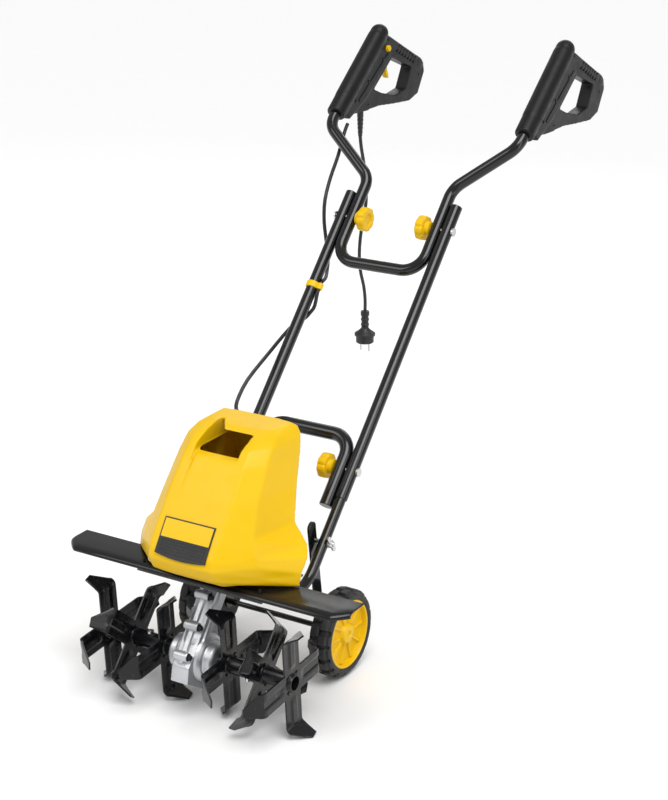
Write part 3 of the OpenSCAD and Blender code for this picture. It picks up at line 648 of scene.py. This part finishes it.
# Recess between the rails, deepening towards the carry window: height, face depth and half width
RECESS_REACH = 130
WINDOW_HALF = 44
WINDOW_SIDE = ((50, 436), (50, 466), (140, 466), (146, 460), (220, 460), (220, 438), (92, 438))
recess = bmesh.new()
PANEL = [(357, -1, 43), (380, 17, 43.5), (410, 42, 44), (430, 62, 44), (440, 76, 44), (446, 92, 44),
         (452, 110, 44), (462, 152, 44), (500, 156, 44)]
for (z0, y0, w0), (z1, y1, w1) in zip(PANEL, PANEL[1:]):
    hull(recess, [Vector((x, y, z)) for z, y, w in ((z0, y0, w0), (z1, y1, w1))
                  for x in (-w, w) for y in (y, y - RECESS_REACH)])
window = bmesh.new()
hull(window, [Vector((x, y, z)) for x in (-WINDOW_HALF, WINDOW_HALF) for y, z in WINDOW_SIDE])
LOUVRES = 5
LOUVRE_LOW = 373
LOUVRE_PITCH = 12.3
louvres = bmesh.new()
for k in range(LOUVRES):
    z = LOUVRE_LOW + LOUVRE_PITCH * k
    for side in (-1, 1):
        beside = Matrix.Translation((side * 112, 178 + 0.57 * (z - 400), z))
        slab(louvres, (-30, -8, -2.2), (30, 40, 2.2), beside)
    slab(louvres, (-44, -4, -2.4), (44, 30, 2.4), Matrix.Translation((0, 206, z - 22)))
# Hollow under both shells, open at the bottom
inside = bmesh.new()
for a, b in zip(HOOD_ROWS[:-2], HOOD_ROWS[1:-2]):
    low_z = a[0] - (HOOD_OPEN if a is HOOD_ROWS[0] else 0)
    top_wall = WALL + (6 if b[0] > 420 else 0)
    hull(inside, hood_section(low_z, *a[1:], inset=WALL)
         + hood_section(min(b[0], INSIDE_TOP), *b[1:], inset=top_wall))
for low, high in zip(REAR_ROWS[:3], REAR_ROWS[1:4]):
    low_z = low[0] - (HOOD_OPEN if low is REAR_ROWS[0] else 0)
    hull(inside, [Vector((x, y, z)) for z, (_, w, d) in ((low_z, low), (min(high[0], COVER_INSIDE_TOP), high))
                  for x, y in cover_corners(w - WALL, d - WALL, INSIDE_REACH)])
moulded("hood_moulded", solids, [recess, window, louvres], 2.2, 5, "chassis", "yellow_plastic",
        ["hood_shell", "hood_rear_cover"], [inside])

# Badge: a plain framed plate with a dimpled lower half, no lettering
BADGE_LOW = Vector((0, -41.5, 299))
BADGE_SLOPE = math.radians(56)
BADGE_UP = Vector((0, math.cos(BADGE_SLOPE), math.sin(BADGE_SLOPE)))
BADGE_OUT = Vector((0, -BADGE_UP.z, BADGE_UP.y))
BADGE_TALL = 56
BADGE_HALF = 50
FRAME_WIDTH = 2.4
DIMPLE_PITCH = (5.6, 5.2)


def badge_plate(bm, x0, x1, v0, v1, lift, thick, curve=0.0):
    """A plate on the hood's front slope, its lower edge bowed by curve."""
    steps = 12
    low_edge = [(x0 + (x1 - x0) * k / steps, v0 - curve * (1 - (2 * k / steps - 1) ** 2))
                for k in range(steps + 1)]
    outline = low_edge + [(x1, v1), (x0, v1)]
    rings = [[BADGE_LOW + Vector((x, 0, 0)) + BADGE_UP * v + BADGE_OUT * h for x, v in outline]
             for h in (lift, lift + thick)]
    grid(bm, rings)


bm = bmesh.new()
badge_plate(bm, -BADGE_HALF, BADGE_HALF, -6, BADGE_TALL, -2, 4.6, 5)
bevel(bm, 1.0, 2, 60)
for i in range(16):
    for j in range(5):
        across, up = -42 + i * DIMPLE_PITCH[0], -2.6 + j * DIMPLE_PITCH[1]
        dimple = BADGE_LOW + Vector((across, 0, 0)) + BADGE_UP * up + BADGE_OUT * 2.4
        lathe(bm, [(1.9, 0), (1.7, 0.7), (0.9, 1.0), (0.2, 1.05)], on_axis(dimple, BADGE_OUT), 10)
piece("badge_plate", bm, "chassis", "badge", ["hood_badge"])
bm = bmesh.new()
badge_plate(bm, FRAME_WIDTH - BADGE_HALF, BADGE_HALF - FRAME_WIDTH, 22.5, BADGE_TALL - FRAME_WIDTH, 2.2, 0.7)
bevel(bm, 0.3, 1, 60)
piece("badge_face", bm, "chassis", "yellow_plastic")

# Gear housing: a cast column that leans back, drawn in the column's frame
LEAN = math.radians(52)
COLUMN = Matrix.Translation((0, 0, AXLE_Z)) @ Matrix.Rotation(LEAN - math.pi / 2, 4, "X")
ACROSS = Matrix.Rotation(math.pi / 2, 4, "Y")
WORM_OFFSET = 26
HOUSING_SIDE = [(-40, 118), (-42, -32), (-30, -56), (28, -50), (48, -41), (54, -20), (34, 20), (-8, 60),
                (-8, 118)]
HOUSING_HALF = 17
LUGS = [COLUMN @ Vector((0, -49, s)) for s in (-14, 38, 92)] + [Vector((0, 24, AXLE_Z - 52))]


def disc(bm, centre, radius, x0, x1, edge=1.5, steps=40):
    lathe(bm, [(radius - edge, x0), (radius, x0 + edge), (radius, x1 - edge), (radius - edge, x1)],
          Matrix.Translation(centre) @ ACROSS, steps)


solids = bmesh.new()
axle = Vector((0, 0, AXLE_Z))
side_prism(solids, COLUMN, HOUSING_SIDE, -HOUSING_HALF, HOUSING_HALF)
disc(solids, axle, 40, -27, 27, 6, 48)
disc(solids, axle, 30, -44, 44, 4, 48)
lathe(solids, [(19, 10), (20, 20), (20, 122), (30, 124), (30, 128)],
      COLUMN @ Matrix.Translation((0, -WORM_OFFSET, 0)), 40)
slab(solids, (-5, -49.5, -26), (5, -40, 122), COLUMN)
slab(solids, (-21, -38, 60), (21, -30, 70), COLUMN)
slab(solids, (-22, -34, 20), (22, -24, 118), COLUMN)
for lug in LUGS:
    disc(solids, lug, 8, -15, 13)
moulded("gear_housing_cast", solids, [], 1.3, 2, "chassis", "cast_aluminium",
        ["gear_housing_left", "gear_housing_right"])
bm = bmesh.new()
for lug in LUGS:
    for x0, x1, radius in ((12, 14.4, 6.6), (14.2, 18.6, 4.6)):
        disc(bm, lug, radius, x0, x1, 0.6, 24)
    lathe(bm, [(2.6, 18.7), (2.4, 18.9), (1.0, 18.7), (0.2, 18.7)], Matrix.Translation(lug) @ ACROSS, 6)
piece("gear_housing_bolts", bm, "chassis", "black_screws", ["gear_housing_screws"])

# Tine stars: pressed strips with a stiffening channel and a bent, sharpened tip
TINE_HALF = 22
TINE_T = 3
BEND_R = 81.8
TIP_BEND = math.radians(60)
TIP_LEN = 36
HUB_R = 15
CORNER_R = 7
CHANNEL = 2.4
RIVET_R = 18.6


def arm_frame(s):
    """Point (x, z) and outward direction along an arm at the distance s from the shaft, round the bend."""
    cut = CORNER_R * math.tan(TIP_BEND / 2)
    arc = CORNER_R * TIP_BEND
    if s < BEND_R - cut:
        return 0.0, s, 0.0
    s -= BEND_R - cut
    if s < arc:
        a = s / CORNER_R
        return CORNER_R * (1 - math.cos(a)), BEND_R - cut + CORNER_R * math.sin(a), a
    s -= arc
    x = CORNER_R * (1 - math.cos(TIP_BEND)) + s * math.sin(TIP_BEND)
    return x, BEND_R - cut + CORNER_R * math.sin(TIP_BEND) + s * math.cos(TIP_BEND), TIP_BEND


def tine_arm(bm, matrix, way):
    reach = BEND_R - 2 * CORNER_R * math.tan(TIP_BEND / 2) + CORNER_R * TIP_BEND + TIP_LEN
    bend_at = BEND_R - CORNER_R
    columns = 17
    layers = []
    for face in (1, -1):
        rows = []
        for j in range(25):
            v = j / 24
            line = []
            for i in range(columns):
                u = i / (columns - 1) * 2 - 1
                s = TINE_HALF + (reach - TINE_HALF) * v
                tip = max(0, (s - bend_at - TIP_LEN * 0.4) / (reach - bend_at - TIP_LEN * 0.4))
                left, right = -TINE_HALF, TINE_HALF - (2 * TINE_HALF - 16) * tip
                y = left + (right - left) * (u + 1) / 2
                s -= tip * 3 * (1 - u) / 2
                x, z, angle = arm_frame(s)
                beside = max(0, min(1, (9 - abs(y)) / 3.5))
                ridge = beside * max(0, min(1, (s - 26) / 8, (BEND_R + 6 - s) / 10))
                edge = 0.55 if tip > 0.02 and i in (0, columns - 1) else 1
                h = face * TINE_T / 2 * edge + CHANNEL * ridge
                line.append(matrix @ Vector((way * (x + h * math.cos(angle)), y, z - h * math.sin(angle))))
            rows.append(line)
        layers.append(rows)
    rings = [top + low[::-1] for top, low in zip(*layers)]
    grid(bm, rings)


def star(name, x, turn, ways, node):
    bm = bmesh.new()
    base = Matrix.Translation((x, 0, AXLE_Z)) @ Matrix.Rotation(math.radians(turn), 4, "X")
    steps = 48
    hub = []
    half = TINE_T / 2
    bore = HUB_R + 0.1
    for radius, h in ((bore, -half), (0, -half), (0, half), (bore, half)):
        ring = []
        for k in range(steps):
            a = 2 * math.pi * k / steps
            reach = radius or TINE_HALF / max(abs(math.cos(a)), abs(math.sin(a)))
            ring.append(base @ Vector((h, reach * math.cos(a), reach * math.sin(a))))
        hub.append(ring)
    grid(bm, hub, loop=True)
    for k, way in enumerate(ways):
        tine_arm(bm, base @ Matrix.Rotation(math.pi / 2 * k, 4, "X"), way)
    for k in range(4):
        a = math.pi / 4 + math.pi / 2 * k
        for face in (-1, 1):
            lathe(bm, [(3.4, 0), (3.4, 1.2), (2.4, 2), (0.3, 2.2)],
                  base @ facing(face, (face * 1.4, RIVET_R * math.cos(a), RIVET_R * math.sin(a))), 12)
    # Weld bead round the tube
    for face in (-1, 1):
        lathe(bm, [(HUB_R, 0), (HUB_R + 2.6, 0), (HUB_R + 1.6, 1.7), (HUB_R, 2.8)],
              base @ facing(face, (face * half, 0, 0)), 40,
              lambda a, r, h: (r, h * (1 + 0.15 * math.sin(13 * a))), loop=True)
    bmesh.ops.remove_doubles(bm, verts=bm.verts, dist=0.01)
    piece(name, bm, "tine_rotor", "tine_steel", [node], 28)


# Each star's name, distance from the centre plane, turn in degrees and the way its first tip bends
STARS = [("inner", 64, 4, -1), ("middle", 132, 49, 1), ("outer", 186, 4, 1)]
TINE_TUBE = [(10.2, 46), (14, 46), (15, 47), (15, 191), (14.2, 192), (12.2, 192), (12, 191), (12, 118),
             (0.5, 118)]
for word, x, turn, first in STARS:
    for side, hand in ((1, "left"), (-1, "right")):
        ways = [side * first * (1 if k % 2 == 0 else -1) for k in range(4)]
        star("star_%s_%s_pressed" % (word, hand), side * x, turn, ways, "star_%s_%s" % (word, hand))
for side, hand in ((1, "left"), (-1, "right")):
    bm = bmesh.new()
    lathe(bm, TINE_TUBE, facing(side, axle), 40)
    piece("tine_tube_%s_turned" % hand, bm, "tine_rotor", "tine_steel", ["tine_tube_" + hand])

# Wheels
WHEEL_Y = 231
WHEEL_R = 79
WHEEL_X = 117
WHEEL_W = 42
TREAD = 18


def tread(angle, radius, height):
    """Blocks that alternate between the two shoulders."""
    if radius < WHEEL_R - 6.5:
        return radius, height
    part = (angle * TREAD / (2 * math.pi) + (0.5 if height > WHEEL_W / 2 else 0)) % 1
    return radius - (0 if part < 0.68 else 5), height


TYRE_PROFILE = [(61.4, 2), (63, 0.8), (66, 0.2), (70, 0.4), (73.4, 2), (74, 5), (78.2, 7.5), (79, 9),
                (79, 19), (78, 20.4), (74, 20.8), (74, 21.2), (78, 21.6), (79, 23), (79, 33),
                (78.2, 34.5), (74, 37), (73.4, 40), (70, 41.6), (66, 41.8), (63, 41.2), (61.4, 40)]


def ribbed(angle, radius, height):
    """Ten ribs that stand on the dished face of the wheel."""
    if not 20 < radius < 55:
        return radius, height
    part = abs(((angle * 10 / (2 * math.pi)) % 1) - 0.5)
    return radius, height + 4.5 * max(0, min(1, (0.13 - part) / 0.05))


RIM_PROFILE = [(6, 0.6), (60.5, 0.6), (61.3, 2), (61.3, 12), (58, 12), (56, 4), (14, 4), (12, 14), (6, 14)]
HUB_PROFILE = [(5.2, 14), (60, 14), (61.8, 14.6), (61.8, 39.5), (60.4, 40.6), (57.6, 40.4), (56.6, 38),
               (55.6, 31), (54, 29.5), (40, 29), (24, 30), (19, 31), (16.6, 36), (15.6, 38.4), (12, 39.2),
               (6.4, 39.2), (5.6, 37), (0.4, 37)]
for side, hand in ((1, "left"), (-1, "right")):
    at = facing(side, (side * WHEEL_X, WHEEL_Y, WHEEL_R))
    bm = bmesh.new()
    lathe(bm, TYRE_PROFILE, at, TREAD * 12, tread, loop=True)
    piece("tyre_%s_treaded" % hand, bm, hand + "_wheel", "tyre", ["tyre_" + hand], 30)
    bm = bmesh.new()
    lathe(bm, HUB_PROFILE, at, 240, ribbed)
    piece("wheel_%s_ribbed" % hand, bm, hand + "_wheel", "yellow_plastic", ["wheel_hub_" + hand], 35)
    bm = bmesh.new()
    lathe(bm, RIM_PROFILE, at, 96, loop=True)
    piece("wheel_%s_inner_rim" % hand, bm, hand + "_wheel", "black_plastic")

# Wheel arms and the wing bolts that clamp them
SWING_Y = 219
SWING_Z = 308 - (275 - SWING_Y) * math.tan(SLOPE)
ARM_X = MID_X - TUBE_R - 6
ARM_T = 4
ARM_TOP = (203, 278, 11, -10, 190)
ARM_FOOT = (WHEEL_Y, WHEEL_R, 12, 190, 350)
WING = [(-2.6, 3), (2.6, 3), (4.6, 13), (3.4, 18), (0, 19.6), (-3.4, 18), (-4.6, 13)]
WING_HALF = 1.6
bm = bmesh.new()
for side in (-1, 1):
    outline = []
    for y, z, radius, first, last in (ARM_TOP, ARM_FOOT):
        for k in range(13):
            a = math.radians(first + (last - first) * k / 12)
            outline.append((y + radius * math.cos(a), z + radius * math.sin(a)))
    side_prism(bm, Matrix(), outline, *sorted((side * ARM_X, side * (ARM_X + ARM_T))))
bevel(bm, 0.7, 2, 50)
piece("wheel_arms_flat", bm, "wheel_carriage", "tube_paint", ["wheel_arms"])
for side, hand in ((1, "left"), (-1, "right")):
    face = MID_X + CHASSIS_R + 0.3
    at = facing(side, (0, SWING_Y, SWING_Z))
    bm = bmesh.new()
    lathe(bm, [(3.4, ARM_X - 6), (4, ARM_X - 5), (4, face + 10), (3.2, face + 11)], at, 20)
    lathe(bm, [(7.6, face), (8, face + 0.6), (7, face + 6), (5.4, face + 8), (4, face + 8.4)], at, 24)
    lathe(bm, [(6.8, ARM_X - 4.6), (6.8, ARM_X - 0.3)], at, 6)
    for turn in (35, 215):
        wing = (Matrix.Translation((side * (face + 5), SWING_Y, SWING_Z))
                @ Matrix.Rotation(math.radians(turn), 4, "X"))
        side_prism(bm, wing, WING, -WING_HALF, WING_HALF)
    bevel(bm, 0.5, 2, 50)
    piece("wing_bolt_%s_formed" % hand, bm, hand + "_wing_bolt", "zinc", ["wing_bolt_" + hand])

# Floor, world and lights
FLOOR_HALF = 60.0
FLOOR_Z = -0.0005
floor_ends = (-FLOOR_HALF, FLOOR_HALF)
bm = bmesh.new()
grid(bm, [[(x, y, FLOOR_Z) for x in floor_ends] for y in floor_ends], False, False)
floor = raw_object("floor", bm)
paper = material("floor_paper", (0.86, 0.86, 0.86), 0.9, tone=0.005, patch=0.01, specular=0.1)
floor.data.materials.append(paper)
world = bpy.data.worlds.new("studio")
world.use_nodes = True
background = world.node_tree.nodes["Background"]
background.inputs["Color"].default_value = (1, 1, 1, 1)
background.inputs["Strength"].default_value = 0.5
bpy.context.scene.world = world
bpy.context.scene.view_settings.view_transform = "Standard"


def area_light(name, at, aim, size, power):
    data = bpy.data.lights.new(name, "AREA")
    data.shape = "RECTANGLE"
    data.size, data.size_y = size
    data.energy = power
    lamp = bpy.data.objects.new(name, data)
    bpy.context.scene.collection.objects.link(lamp)
    lamp.location = at
    lamp.rotation_euler = (Vector(aim) - Vector(at)).to_track_quat("-Z", "Y").to_euler()


MIDDLE = (0, 0, 0.45)
area_light("key", (-1.6, -2.4, 2.6), MIDDLE, (1.6, 1.6), 25)
area_light("side", (2.8, -0.6, 1.4), MIDDLE, (0.8, 2.2), 12)
area_light("back", (-0.8, 2.6, 2.2), MIDDLE, (2.2, 1.0), 15)
sun = bpy.data.objects.new("sun", bpy.data.lights.new("sun", "SUN"))
sun.data.energy = 2.2
sun.data.angle = math.radians(40)
sun.rotation_euler = (math.radians(25), math.radians(10), math.radians(30))
bpy.context.scene.collection.objects.link(sun)
